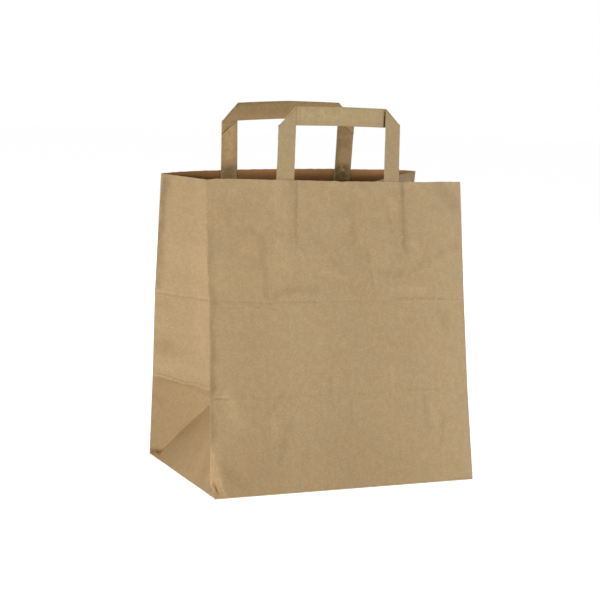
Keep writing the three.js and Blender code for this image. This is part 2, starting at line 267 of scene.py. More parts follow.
def back_relief(x, v):
    upper = smooth(v, 110, 200)
    out = 0.6 * noise(x, v, 75, 11) + (0.12 + 0.16 * upper) * noise(x, v, 25, 12)
    out += 0.12 * noise(x, v, 12, 13)
    tuck = smooth(v, BAG_HEIGHT - LEG_TUCK - 3, BAG_HEIGHT - LEG_TUCK + 9)
    out += 0.6 * tuck * (smooth(x, -74, -69) - smooth(x, -53.8, -50))
    out += 0.6 * tuck * (smooth(x, 40, 45.5) - smooth(x, 62.6, 67))
    wave = 0.6 * noise(x, v * 0 + 9, 45, 14)
    out += crease(x, v + wave, -132, 169.5, 132, 169.5, 6, -0.45)
    out += crease(x, v + wave, -132, 85, 132, 85, 5, 0.35)
    out += crease(x, v, -30, 150, 22, 118, 6, 0.3, 30)
    out += crease(x, v, 60, 60, 96, 38, 6, 0.3, 20)
    return out + SEAM_STEP * smooth(x, SEAM_X - 0.4, SEAM_X + 0.4)


def gusset_relief(a, v, seed):
    """Relief of a gusset at distance a around from the back edge (0 to the whole depth)."""
    out = 0.5 * noise(a, v, 45, seed) + 0.16 * noise(a, v, 17, seed + 1)
    out += 0.10 * noise(a, v, 8, seed + 2)
    wave = 1.0 * noise(a, v * 0 + 3, 13, seed + 3) + 0.4 * noise(a, v * 0 + 3, 5, seed + 4)
    out += crease(a, v + wave, -4, 170, 174, 170, 4.5, -0.4)
    return out, wave


def edge_fade(distance, width=7):
    return smooth(distance, 0, width)


# Lines of painted highlight and shade along the folds, pressed lines, creases, leg marks and
# the dent, partly also wear of the fibres and the lighter cut edge, in flat paper coordinates:
# start and end (x, v, x, v), half width, and how much lighter or darker the paper is there.
# The front wall comes first.
LINES = (
    # Its folds, cut edge and pressed lines
    (-130, -2, -130, 282, 1.1, 0.13), (130, -2, 130, 282, 1.0, -0.05), (-131, 280, 131, 280, 0.9, 0.1),
    (50, 170.8, 110, 169.8, 1.3, -0.15), (44, 167.7, 127, 166.8, 1.1, 0.08),
    (-129, 172, -68, 168.5, 1.5, -0.1), (-72, 169.6, -22, 169, 1.8, -0.12),
    (-95, 166.6, -64, 163, 1.5, -0.08), (-22, 169.5, 44, 168.6, 1.3, -0.05),
    (98, 169.2, 128, 168.2, 1.4, -0.09), (-129, 168.9, -96, 166.2, 1.2, 0.05),
    (-131, 90.3, -112, 86.4, 1.2, 0.11), (-130, 87.6, -108, 84.4, 1.5, -0.14),
    (-95, 84.2, -18, 85.2, 1.3, -0.06), (3, 85, 24, 83.2, 1.4, -0.09), (61, 86, 100, 84.6, 1.3, -0.1),
    (62, 83.8, 102, 82.4, 1.2, 0.04), (43, 120.7, 52, 119.6, 1.6, -0.06),
    (106, 1.2, 130, 0.8, 1.6, -0.14),
    # The tucked legs of the handle
    (-46.6, 283, -48.3, 219, 1.9, -0.17), (-46, 221, -42.6, 212, 1.6, -0.08),
    (62, 283, 61.6, 216, 2.6, -0.1),
    # Small creases under the handle
    (-46.6, 220, -43.6, 212, 1.2, 0.1), (-44.6, 214.4, -39.2, 206.8, 1.2, 0.15),
    (-48, 217, -42, 206, 1.3, -0.08), (68, 226, 79.5, 210.5, 2.6, 0.1),
    (62.5, 219, 70, 205, 2.6, -0.05), (52.8, 264, 58.6, 252, 2.0, 0.11),
    (40.5, 223, 45, 212, 2.2, 0.09), (30, 212.6, 35, 203, 2.0, 0.08), (28, 193, 33, 182, 1.8, 0.08),
    (-24, 195, -12, 196.6, 1.5, 0.1), (-16, 193.6, 4, 190, 2.2, 0.1), (24, 222, 27, 200, 1.7, -0.08),
    (26.6, 201, 30, 172, 1.8, -0.08),
    # The dent at the foot of the left fold
    (-130.2, 20, -128, 3, 1.1, 0.2), (-128.6, 17, -125.8, 2.5, 1.4, -0.64),
    (-130, 46, -118.8, -4, 1.2, 0.12),
    # The back wall: its pressed lines, the tucked legs and the glued seam
    (299, 169.9, 561, 169.6, 1.2, -0.09), (299, 167.6, 561, 167.3, 1.2, 0.06),
    (299, 85.2, 561, 85, 1.1, -0.07), (299, 83.2, 561, 83, 1.2, 0.05),
    (482, 283, 482.4, 213, 2.2, -0.12), (364.6, 283, 364, 215, 2.2, -0.12),
    (326.2, -2, 326.2, 282, 0.8, 0.13), (325, -2, 325, 282, 1.0, -0.1),
)
# The same on either gusset, as on the left one
GUSSET_LINES = (
    (-302, 170, -128, 170, 1.2, 0.1), (-302, 167.6, -128, 167.4, 1.6, -0.12),
    (-302, 85, -128, 85, 1.4, 0.17), (-297, 87.4, -222, 87, 1.4, -0.17), (-278, 8, -260, 35, 2.2, 0.13),
    (-261, 34, -233, 67, 2.2, 0.12), (-234, 66, -214, 86, 2.0, 0.1), (-134, 4, -216, 86, 1.2, 0.1),
    (-215, 86, -215, 282, 1.2, 0.1), (-303, 2, -272, 8, 4.4, -0.52), (-292, 11, -280, 3, 2.2, -0.2),
    (-302, 0, -302, 282, 1.2, -0.06), (-150, 4.6, -137, 3.2, 1.5, -0.22),
)
# Broad soft bands of painted light and shade, where the paper bends and across the walls as
# the light falls on them: start and end, half width, tone and warmth
FRONT_SHADING_BANDS = (
    (-110, 320, -110, -40, 85, -0.06, 0.35), (0, 320, 0, -40, 60, -0.035, 0.1),
    (128, 320, 128, -40, 85, 0.09, -0.4), (-130, 20, 60, 20, 60, -0.035, 0.3),
    (-127.4, 236, -127.4, 50, 5, -0.08, 0), (-127.4, 158, -127.2, 52, 4.5, -0.1, 0.2),
    (-92, 236, -79, 223, 6, -0.068, 0), (-78.5, 228, -76, 176, 6, -0.081, 0),
    (-120, 262, -96, 232, 13, -0.041, 0), (-72, 230.5, -54, 230.5, 3.5, -0.047, 0),
    (-66, 262, -60, 240, 9, 0.041, 0), (-72, 176, -26, 181.5, 6.5, -0.101, 0.2),
    (-50, 285, -51.5, 218, 5, -0.081, 0), (6.5, 262, 4.5, 232, 6, -0.068, 0),
    (4.5, 238, 14, 210, 7, -0.061, 0), (12, 276, 27, 262, 9, 0.081, 0.2),
    (-38, 244, -22, 212, 6, -0.041, 0), (-18, 204, 0, 202, 6, -0.068, 0.1),
    (45, 254, 50, 232, 5, -0.068, 0), (61.8, 285, 61.4, 212, 6, -0.121, 0),
    (36, 196, 64, 191, 8, -0.068, 0.2), (72, 197, 106, 210, 9, -0.068, 0.3),
    (104, 212, 128, 222, 7, -0.081, 0), (104, 276, 128, 256, 17, -0.1, 0),
    (96, 260, 112, 246, 9, -0.054, 0), (58, 178.5, 88, 177, 7, 0.074, 0),
    (88, 196, 110, 186, 9, 0.041, 0), (-24, 194, 6, 189, 6, 0.041, 0),
    (100, 160, 113, 140, 11, -0.068, 0), (106, 128, 120, 114, 6, -0.041, 0),
    (-22, 146, -27, 124, 8, 0.041, 0), (-19, 120, -4, 118, 4, -0.041, 0),
    (13, 146, 8, 137, 5, -0.047, 0), (46, 116, 50, 96, 6, 0.068, 0),
    (-14.6, 102, -14.6, 80, 3, -0.068, 0), (-10.5, 110, -10.5, 84, 4, 0.047, 0),
    (-114, 90, -101, 58, 12, 0.095, 0), (-60, 88, -80, 68, 5, -0.068, 0),
    (-56, 60, -65, 27, 6, -0.088, 0), (-69, 68, -71, 46, 6, 0.061, 0), (-44, 34, -42, 17, 4, -0.068, 0),
    (-119, 26, -104, 10, 10, -0.095, 0.2), (4.5, 84, 6, 58, 3.5, -0.054, 0),
    (2, 26, 8, 3, 3, -0.054, 0), (83.5, 80, 86, 48, 5, -0.068, 0), (92, 74, 94, 52, 5, 0.068, 0),
    (103.5, 62, 101, 32, 5, -0.081, 0), (70, 35, 82, 25, 6, 0.047, 0), (-128, 20, -126, -2, 5, 0, 1.2),
    (69, 225, 79, 211, 6, 0.08, 0), (46, 269, 57, 252, 4, 0.07, 0), (-64, 220, -58, 200, 9, 0.04, 0),
    (-100, 222, -92, 180, 11, 0.03, 0.2), (-34, 270, -18, 262, 12, 0.035, 0.1),
    (106, 21, 120, 9, 9, -0.05, 0), (-129.5, 44, -123, -4, 5, 0.1, 0.2),
)
GUSSET_SHADING_BANDS = (
    (-295.8, 300, -297.2, 176, 7, -0.19, 0.4), (-292, 300, -295, 214, 10, -0.07, 0.2),
    (-260, 300, -243, 120, 20, 0.06, -0.2), (-299, 159, -281, 156, 8, -0.055, 0),
    (-299, 117, -281, 116, 13, -0.06, 0.5), (-302, 121, -262, 114, 15, -0.055, 0.3),
    (-302, 97, -232, 96.5, 7, 0.05, 0), (-252, 150, -236, 100, 12, 0.03, -0.2),
    (-244, 80, -234, 68, 9, 0.05, 0), (-298, 68, -286, 58, 9, -0.05, 0.3),
    (-208, 38, -206, 6, 4, -0.045, 0), (-195, 38, -187, 6, 8, 0.05, 0),
    (-178, 28, -175, 4, 4, -0.05, 0), (-165, 18, -156, 3, 6, 0.06, 0),
    (-262, 30, -236, 52, 13, -0.05, 0.3), (-294, 205, -240, 205, 24, 0.05, -0.1),
    (-304, 5, -266, 6, 10, 0, 1.5), (-297, 82.3, -224, 82.3, 4, -0.08, 0.2),
)
# The right gusset also has a painted shadow inside its fold below the mouth
RIGHT_GUSSET_SHADING_BANDS = (*GUSSET_SHADING_BANDS, (-300, 284, -225, 284, 30, -0.34, 0))
# Painted shade and light on the front handle's top strip: a painted shadow in the slit beside the
# right leg, painted shading of its bends, and lighter overall. It is at FRONT_STRIP_U plus its
# height above the mouth; x runs upwards
STRIP_LINES = (
    (944, 41.1, 963.5, 41.4, 1.1, -3.0), (951, -58, 951, 41, 0.8, -0.07), (956, -60, 956, 42, 14, 0.13),
    (948, -39, 966, -39, 1.2, -0.07), (946, -29, 966, -28, 3.5, -0.07), (946, -22, 966, -22, 3, 0.06),
    (946, -6, 966, -6, 1.5, -0.06), (946, 14, 966, 15, 3, -0.04), (946, 27, 966, 27, 3, 0.04),
    (946, -44, 966, -44, 3, -0.05),
)
# The back handle, with painted shade and light: its legs darker near the mouth, the right leg
# darker and the left one lighter higher up, the top strip darker towards its top edge and its right,
# and a painted shadow under the cut end of its last ply. Its legs are at BACK_LEG_U and its top
# strip at BACK_STRIP_U
BACK_STRIP_LINES = (
    (1040, -26, 1040, 6, 15, -0.42), (1157, -26, 1157, 6, 15, -0.4), (1150, -14, 1150, 50, 4.5, -0.26),
    (1157, 16, 1157, 52, 11, -0.26), (1157, -20, 1157, 8, 12, -0.24), (1040, 6, 1040, 48, 11, 0.32),
    (1463.8, -62, 1463.8, 62, 4, -0.2), (1451, -64, 1451, 4, 4.5, 0.06), (1456, 8, 1456, 64, 9, -0.15),
    (1440, -68, 1440, -50, 7, -0.14), (1446.3, -69, 1446.3, -52, 0.9, -0.25),
    (1456, -60, 1456, 64, 12, -0.07),
)


def shades(x, v, bands, tone=0.0, warmth=0.0):
    """Red, green and blue factors of painted light and shade from soft bands, over a general tone."""
    tone, warmth = x * 0 + tone, x * 0 + warmth
    # The bands waver as creased paper does
    x, v = x + 3.0 * noise(x, v, 17, 41) + 1.2 * noise(x, v, 6, 42), v + 3.0 * noise(x, v, 15, 43)
    uneven = 1 + 0.45 * noise(x, v, 9, 44)
    for x0, v0, x1, v1, width, band_tone, band_warmth in bands:
        taper = min(width * 2, math.dist((x0, v0), (x1, v1)))
        share = smooth(crease(x, v, x0, v0, x1, v1, width, 1, taper), 0, 0.7)
        share = share * (uneven if width < 20 else 1)
        tone = tone + band_tone * share
        warmth = warmth + band_warmth * share
    return 1 + tone[..., None] + warmth[..., None] * np.array([0.02, -0.015, -0.07])


# A sheet of paper as a welded mesh

class Sheet:
    def __init__(self):
        self.points, self.faces, self.uvs, self.shades = [], [], [], []
        self.index = {}

    def corner(self, p, shade):
        key = (round(p[0], 3), round(p[1], 3), round(p[2], 3))
        if key not in self.index:
            self.index[key] = len(self.points)
            self.points.append(p)
            self.shades.append(shade)
        return self.index[key]

    def panel(self, points, uvs, flip, shade=None):
        """Quads over a grid of points, with flat paper coordinates; flip turns the outside over."""
        rows, columns = points.shape[:2]
        shade = np.ones(points.shape) if shade is None else shade
        ids = [[self.corner(points[i, j], shade[i, j]) for j in range(columns)] for i in range(rows)]
        for i in range(rows - 1):
            for j in range(columns - 1):
                ring = [(i, j), (i + 1, j), (i + 1, j + 1), (i, j + 1)]
                if flip:
                    ring.reverse()
                face, coords = [], []
                for r, c in ring:
                    k = ids[r][c]
                    if k not in face:
                        face.append(k)
                        coords.append(tuple(uvs[r, c]))
                if len(face) > 2:
                    self.faces.append(face)
                    self.uvs.append(coords)

    def normals(self):
        p = np.array(self.points)
        total = np.zeros_like(p)
        for face in self.faces:
            a, b, c = p[face[0]], p[face[1]], p[face[2]]
            n = np.cross(b - a, c - a)
            if len(face) == 4:
                d = p[face[3]]
                n = n + np.cross(c - a, d - a)
            size = np.linalg.norm(n)
            if size > 0:
                for k in face:
                    total[k] += n / size
        return total / np.maximum(np.linalg.norm(total, axis=1), 1e-9)[:, None]


def mesh_object(name, points, faces, uvs, slots, materials, attributes=None):
    """A smooth-shaded mesh object from points in millimetres."""
    mesh = bpy.data.meshes.new(name)
    mesh.from_pydata([tuple(p) for p in np.asarray(points) * MM], [], faces)
    layer = mesh.uv_layers.new(name="paper")
    flat = np.array([c for face in uvs for c in face], float) * MM
    layer.data.foreach_set("uv", flat.ravel())
    mesh.polygons.foreach_set("material_index", slots)
    mesh.polygons.foreach_set("use_smooth", [True] * len(faces))
    for key, values in (attributes or {}).items():
        if np.ndim(values) == 1:
            mesh.attributes.new(key, "FLOAT", "POINT").data.foreach_set("value", values)
        else:
            colours = np.column_stack([values, np.ones(len(values))])
            layer = mesh.color_attributes.new(key, "FLOAT_COLOR", "POINT")
            layer.data.foreach_set("color", colours.ravel())
    for material in materials:
        mesh.materials.append(material)
    mesh.validate()
    obj = bpy.data.objects.new(name, mesh)
    bpy.context.scene.collection.objects.link(obj)
    return obj


def thicken(sheet, thickness, point_values):
    """Outer and inner faces of a sheet, with the cut edges between them.

    point_values holds for each attribute its values on the outer and on the inner face.
    """
    normals = sheet.normals()
    p = np.array(sheet.points)
    count = len(p)
    points = np.vstack([p + normals * thickness / 2, p - normals * thickness / 2])
    faces, uvs, slots = [], [], []
    edges = set()
    for face in sheet.faces:
        for k, a in enumerate(face):
            edges.add((a, face[(k + 1) % len(face)]))
    for face, coords in zip(sheet.faces, sheet.uvs):
        faces.append(face)
        uvs.append(coords)
        slots.append(0)
        faces.append([k + count for k in reversed(face)])
        uvs.append(list(reversed(coords)))
        slots.append(1)
        for k, a in enumerate(face):
            b = face[(k + 1) % len(face)]
            if (b, a) not in edges:
                faces.append([b, a, a + count, b + count])
                ca, cb = coords[k], coords[(k + 1) % len(face)]
                uvs.append([cb, ca, ca, cb])
                slots.append(2)
    values = {key: np.concatenate(pair) for key, pair in point_values.items()}
    return points, faces, uvs, slots, values


def spaced(stops, near, far):
    """Positions from the first stop to the last, close together at the stops and far apart between."""
    out = [stops[0]]
    for a, b in zip(stops, stops[1:]):
        half = (b - a) / 2
        steps, x, gap = [], 0.0, near
        while x + gap < half:
            x += gap
            steps.append(x)
            gap = min(far, gap * 1.7)
        out += [a + t for t in steps]
        out += [b - t for t in reversed(steps) if b - t > out[-1] + near * 0.6]
        out.append(b)
    return np.array(out)


def grid(us, vs):
    return np.meshgrid(us, vs, indexing="ij")


def displaced(points, relief, flip):
    """Moves a grid of points along its own outward normals."""
    du = np.gradient(points, axis=0)
    dv = np.gradient(points, axis=1)
    n = np.cross(du, dv)
    if flip:
        n = -n
    size = np.linalg.norm(n, axis=-1, keepdims=True)
    return points + n / np.maximum(size, 1e-9) * relief[..., None]


def crushed(height):
    """How far the rear fold of the foot is pushed forward where its corner is crushed."""
    return np.interp(height, (0, 7, 12, 33, 48, 66), (0, 11, 12.5, 5.6, 2.4, 0))


def bottom_flaps():
    """The two flaps glued under the base, with the front one inside the back one."""
    plies = Plies()
    reach = HALF_DEPTH + FLAP_LAP / 2
    for edge, low in ((1, 0), (-1, FLAP_PLY)):
        u, v = grid(np.linspace(0, 1, 27), spaced([0, 1], 0.008, 0.05))
        x = (2 * u - 1) * (HALF_WIDTH - v * reach)
        y = edge * (HALF_DEPTH - v * reach)
        # The fold itself spans from the ground to the wall
        fold = 1 - smooth(v * reach, 0, 2.5)
        near = np.stack([x, y, low * (1 - fold) + 0.02 * fold], -1)
        far = np.stack([x, y, (low + 0.35) * (1 - fold) + (FOOT_HEIGHT - 0.1) * fold], -1)
        plies.slab(near, far, np.stack([x, -300 - y], -1))
    return plies


def rim_cut(x, v, seed):
    """The slightly uneven cut of the mouth."""
    nick = np.clip(noise(x, 0 * x, 4.5, seed) - 0.55, 0, None) * 1.6
    return (0.22 * noise(x, 0 * x, 2.4, seed + 1) - nick) * smooth(v, BAG_HEIGHT - 3, BAG_HEIGHT)


def mottle(x, v, seed):
    """Slow unevenness of the paper's tone, stronger near the mouth."""
    upper = 0.4 + 0.6 * smooth(v, 150, 200)
    return upper * (0.026 * noise(x, v, 17, seed) + 0.02 * noise(x, v * 0.8, 8, seed + 1))


def add_wall(sheet, point, relief, x, v, flip, uv, bands, rim_drop):
    """The front or the back wall, over a grid of flat paper coordinates."""
    low_cut = np.interp(x, RIM_AT, rim_drop) * smooth(v, RIM_DROP_FROM, BAG_HEIGHT)
    base = point((x / SIDE + 1) / 2, v - low_cut)
    side = edge_fade(SIDE - np.abs(x), 5)
    moved = displaced(base, relief(x, v) * side * edge_fade(v, 5), flip)
    moved[..., 2] += rim_cut(x, v, 21) * edge_fade(SIDE - np.abs(x), 3)
    sheet.panel(moved, uv, flip, shades(x, v, bands, mottle(x, v, 51)))


def half_gusset(half, s, v, middle, share):
    """Points of the rear or front half of a gusset, and their distances around from its back edge."""
    if half == "back":
        return lerp(back_point(s, v), middle, share), share * HALF_GUSSET
    return lerp(middle, front_point(s, v), share), HALF_GUSSET + share * HALF_GUSSET


def add_gusset(sheet, side, columns, foot_rows, upper_rows):
    """One gusset: two upper halves, the slanted triangles below them and the foot triangle."""
    s = (side + 1) / 2
    flip = side > 0
    seed = 30 + 10 * side
    fold = foot_fold(side)
    forward = (front_point(s, 0) - back_point(s, 0)) / BAG_DEPTH

    def add(points, around, height, bands, *general):
        uv = np.stack([side * (GUSSET_U - around), height], -1)
        sheet.panel(points, uv, flip, shades(around - GUSSET_U, height, bands, *general))

    for half in ("back", "front"):
        # The upper part, above the lower pressed line
        share, v = grid(columns / HALF_GUSSET, upper_rows)
        base, around = half_gusset(half, s, v, gusset_fold(side, v), share)
        near = np.minimum(share, 1 - share) * HALF_GUSSET
        relief, wave = gusset_relief(around, v, seed)
        ridge = crease(around, v, -4, HALF_GUSSET, 174, HALF_GUSSET, 3.2, 0.5)
        moved = displaced(base, (relief * edge_fade(v - HALF_GUSSET) + ridge) * edge_fade(near), flip)
        moved[..., 2] += wave * edge_fade(near, 10) * fall(v - HALF_GUSSET, 12)
        add(moved, around, v, RIGHT_GUSSET_SHADING_BANDS if flip else GUSSET_SHADING_BANDS)
        # The slanted triangle below it, as a fan about the foot of the fold
        share, v = grid(columns / HALF_GUSSET, foot_rows)
        base, around = half_gusset(half, s, v, np.broadcast_to(fold, (*v.shape, 3)), share)
        reach = share if half == "back" else 1 - share
        height = v * (1 - reach) + HALF_GUSSET * reach
        if half == "back":
            shift = crushed(HALF_GUSSET * share) * (1 - v / HALF_GUSSET) ** 3
            base = base + shift[..., None] * forward
            around = around + shift
        near = np.minimum(share, 1 - share) * HALF_GUSSET
        span = (1 - reach) * HALF_GUSSET
        low = (v / HALF_GUSSET) * span
        high = span - low
        relief, wave = gusset_relief(around, height, seed)
        ridge = 0.5 * (fall(high, 3.2) ** 1.6 + fall(low, 2.6) ** 1.6)
        inside = edge_fade(high, 5) * edge_fade(low, 5)
        base = displaced(base, (relief * inside + ridge) * edge_fade(near), flip)
        base[..., 2] += wave * edge_fade(near, 10) * fall(high, 12)
        # The slanted triangles are painted darker and warmer towards the back: painted shade, as they
        # turn from the light
        add(base, around, height, GUSSET_SHADING_BANDS, -0.17 + 0.06 * smooth(around, 0, 70), 1.2)
    # The foot triangle
    t, share = grid(spaced([0, 1], 0.006, 0.03), columns / HALF_GUSSET)
    start = crushed(share * HALF_GUSSET) / np.maximum(BAG_DEPTH * (1 - share), 1)
    t = start + t * (1 - start)
    edge = lerp(back_point(s, 0), front_point(s, 0), t)
    base = lerp(edge, np.broadcast_to(fold, (*t.shape, 3)), share)
    along = t * BAG_DEPTH * (1 - share) + HALF_GUSSET * share
    height = HALF_GUSSET * share
    sides = np.minimum(t - start, 1 - t) * (1 - share) * BAG_DEPTH
    relief, _ = gusset_relief(along, height, seed + 5)
    ridge = 0.4 * fall(sides, 2.6) ** 1.6
    streak = 0.6 * noise((t - 0.5) * 90, share * 12, 16, seed + 6)
    fade = edge_fade(sides, 8) * edge_fade(height, 6)
    base = displaced(base, (relief + streak) * fade + ridge * edge_fade(height), flip)
    # The foot triangle is painted darker and warmer still towards the back: painted shade, as it turns
    # from the light
    add(base, along, height, GUSSET_SHADING_BANDS, -0.32 + 0.19 * smooth(along, 15, 110), 1.4)


# How far below the mouth the painted shade inside the bag starts, over what depth it deepens, and by how
# much
INSIDE_FROM, INSIDE_OVER, INSIDE_SHADE = 3.5, 9, (0.42, 0.46, 0.52)


def build_body(materials):
    sheet = Sheet()
    rows = spaced(PRESSED_LINES, 0.5, 2.5)
    foot_rows = rows[rows <= HALF_GUSSET + 1e-6]
    upper_rows = rows[rows >= HALF_GUSSET - 1e-6]
    left, right = LEG_MARKS
    front_columns = spaced([-SIDE, -119, -104, left, -45.5, -24, right, 62, SIDE], 0.4, 2.3)
    back_columns = spaced([-SIDE, SEAM_X, SIDE], 0.4, 4.2)
    half_columns = spaced([0, HALF_GUSSET], 0.4, 3.2)

    x, v = grid(front_columns, rows)
    add_wall(sheet, front_point, front_relief, x, v, False, np.stack([x, v], -1), FRONT_SHADING_BANDS,
             FRONT_RIM_DROP)
    x, v = grid(back_columns, rows)
    add_wall(sheet, back_point, back_relief, x, v, True, np.stack([BACK_U - x, v], -1), (),
             BACK_RIM_DROP)
    for side in (-1, 1):
        add_gusset(sheet, side, half_columns, foot_rows, upper_rows)

    # The base, seen from inside and from below
    x, t = grid(front_columns, np.linspace(0, 1, 28))
    u = (x / SIDE + 1) / 2
    base = lerp(front_point(u, 0 * u), back_point(u, 0 * u), t)
    from_edge = np.minimum(t, 1 - t) * BAG_DEPTH
    base[..., 2] += 0.3 * noise(x, t * BAG_DEPTH, 40, 60) * edge_fade(from_edge, 20)
    sheet.panel(base, np.stack([x, -t * BAG_DEPTH], -1), True)

    # The inner face has painted shade, deepening below the mouth as less light reaches down into the bag
    below = BAG_HEIGHT - INSIDE_FROM - np.array(sheet.points)[:, 2]
    inside = 1 - smooth(below, 0, INSIDE_OVER)[:, None] * np.array(INSIDE_SHADE)
    shade = (np.array(sheet.shades), inside)
    points, faces, uvs, slots, values = thicken(sheet, SHEET, {"shade": shade})
    flaps = bottom_flaps()
    count = len(points)
    points = np.vstack([points, flaps.points])
    faces += [[k + count for k in face] for face in flaps.faces]
    uvs += flaps.uvs
    slots += [2 * slot for slot in flaps.slots]
    values["shade"] = np.vstack([values["shade"], np.ones((len(flaps.points), 3))])
    return mesh_object("bag_paper", points, faces, uvs, slots, materials, values)


# Handles and patches, bent along the walls

def guide(wall_point, inward, lean_degrees):
    lean = math.radians(lean_degrees)
    upward = np.array([0, inward * math.sin(lean), math.cos(lean)])

    def middle(x, h):
        s = (x / HALF_WIDTH + 1) / 2
        inside = wall_point(s, BAG_HEIGHT + np.minimum(h, 0))
        return inside + upward * np.maximum(h, 0)[..., None]

    def bend(x, h, depth):
        x, h, depth = np.broadcast_arrays(*(np.asarray(q, float) for q in (x, h, depth)))
        across = middle(x + 2, h) - middle(x - 2, h)
        up = middle(x, h + 2) - middle(x, h - 2)
        normal = np.cross(up, across)
        normal /= np.linalg.norm(normal, axis=-1, keepdims=True)
        normal = np.where(normal[..., 1:2] * inward < 0, -normal, normal)
        return middle(x, h) + normal * depth[..., None]

    return bend


class Plies:
    """Closed slabs of folded paper, gathered into one mesh."""

    def __init__(self):
        self.points, self.faces, self.uvs, self.slots, self.edge = [], [], [], [], []

    def slab(self, near, far, uv, edge=None):
        """A slab between two grids of points, with cut edges all round; edge is 1 along the folded edges
        and higher where shade or a shadow is painted in.
        """
        start = len(self.points)
        rows, columns = near.shape[:2]
        size = rows * columns
        self.points += list(near.reshape(-1, 3)) + list(far.reshape(-1, 3))
        edge = np.zeros((rows, columns)) if edge is None else edge
        self.edge += list(edge.ravel()) * 2
        at = lambda layer, i, j: start + layer * size + i * columns + j
        coords = lambda i, j: tuple(uv[i, j])
        forward = self.turn(near, far)

        def face(ring, slot):
            if not forward:
                ring = list(reversed(ring))
            self.faces.append([at(*r) for r in ring])
            self.uvs.append([coords(*r[1:]) for r in ring])
            self.slots.append(slot)

        for i in range(rows - 1):
            for j in range(columns - 1):
                face([(0, i, j), (0, i + 1, j), (0, i + 1, j + 1), (0, i, j + 1)], 0)
                face([(1, i, j), (1, i, j + 1), (1, i + 1, j + 1), (1, i + 1, j)], 0)
        for i in range(rows - 1):
            face([(0, i, 0), (1, i, 0), (1, i + 1, 0), (0, i + 1, 0)], 1)
            last = columns - 1
            face([(0, i + 1, last), (1, i + 1, last), (1, i, last), (0, i, last)], 1)
        for j in range(columns - 1):
            face([(0, 0, j + 1), (1, 0, j + 1), (1, 0, j), (0, 0, j)], 1)
            last = rows - 1
            face([(0, last, j), (1, last, j), (1, last, j + 1), (0, last, j + 1)], 1)

    @staticmethod
    def turn(near, far):
        """Whether the near grid's own winding faces away from the far one."""
        i, j = near.shape[0] // 2, near.shape[1] // 2
        a, b, c = near[i - 1, j - 1], near[i, j - 1], near[i, j]
        return np.dot(np.cross(b - a, c - a), near[i, j] - far[i, j]) > 0

    def build(self, name, materials):
        return mesh_object(name, self.points, self.faces, self.uvs, self.slots, materials,
                           {"edge": self.edge})


# How far the cut end of a strip's last ply hangs below its fold
TAIL_DROP = 13


def rounded(u, width, plies):
    """Half thickness across a folded strip: full in the middle, thinner at both folded edges."""
    edge = np.minimum(u, 1 - u) * width
    return plies / 2 * (0.45 + 0.55 * np.sqrt(np.clip(edge / 0.5, 0, 1)))


def settled(centre, width, rim, top, lift):
    """How a handle has settled, from its offsets at both edges of both legs and in the middle."""
    outer, inner = width / 2, width / 2 - STRIP_WIDTH
    knots = (-outer, -inner, 0, inner, outer)

    def place(x, h):
        c = x - centre
        up = np.clip(h / (HANDLE_RISE - STRIP_WIDTH), 0, 1)
        above = smooth(h, -PATCH_TOP, 0)
        moved = x + np.interp(c, knots, rim) * (1 - up) * above + np.interp(c, knots, top) * up
        return moved, h + np.interp(c, knots, lift) * up

    return place


